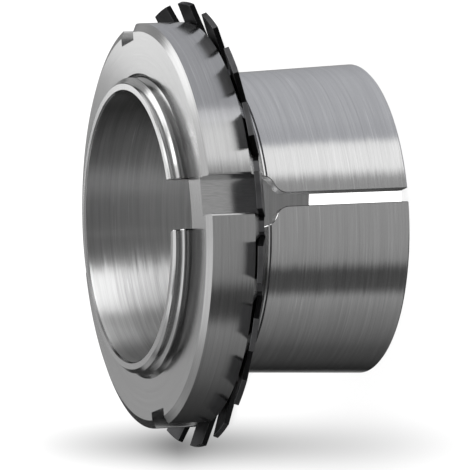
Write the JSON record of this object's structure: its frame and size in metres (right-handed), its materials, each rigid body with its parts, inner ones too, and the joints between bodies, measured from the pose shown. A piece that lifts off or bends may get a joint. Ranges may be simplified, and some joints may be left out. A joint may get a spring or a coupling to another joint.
{
  "type": "bearing adapter sleeve",
  "caption": "Slit tapered sleeve with a plain bore, carrying a round slotted lock nut and a toothed tab washer, that clamps a taper-bore bearing on a plain shaft.",
  "frame": {"origin": "centre of the bore at the sleeve's big end face, which the part stands on", "axes": "+Z along the shaft axis towards the threaded end and the nut; the slit, the keyway and one spanner slot face -Y"},
  "size_m": [0.0826, 0.0825, 0.045],
  "materials": {
    "turned_steel": "fine turned",
    "nut_steel": "satin turned",
    "blackened_steel": "black oxide, satin"
  },
  "bodies": {
    "sleeve": {"adapter_sleeve": "turned_steel"},
    "washer": {"lock_washer": "blackened_steel"},
    "nut": {"lock_nut": "nut_steel"}
  },
  "joints": [
    {"name": "washer_slide", "type": "slide", "parent": "sleeve", "child": "washer", "axis": [0, 0, 1], "range_m": [-0.00205, 0.01405]},
    {"name": "nut_turn", "type": "hinge", "parent": "washer", "child": "nut", "pos_m": [0, 0, 0.0364], "axis": [0, 0, 1], "range_deg": [-360, 2520]}
  ],
  "couplings": [
    {"joint": "washer_slide", "follows": "nut_turn", "m_per_rad": 0.00031831}
  ]
}
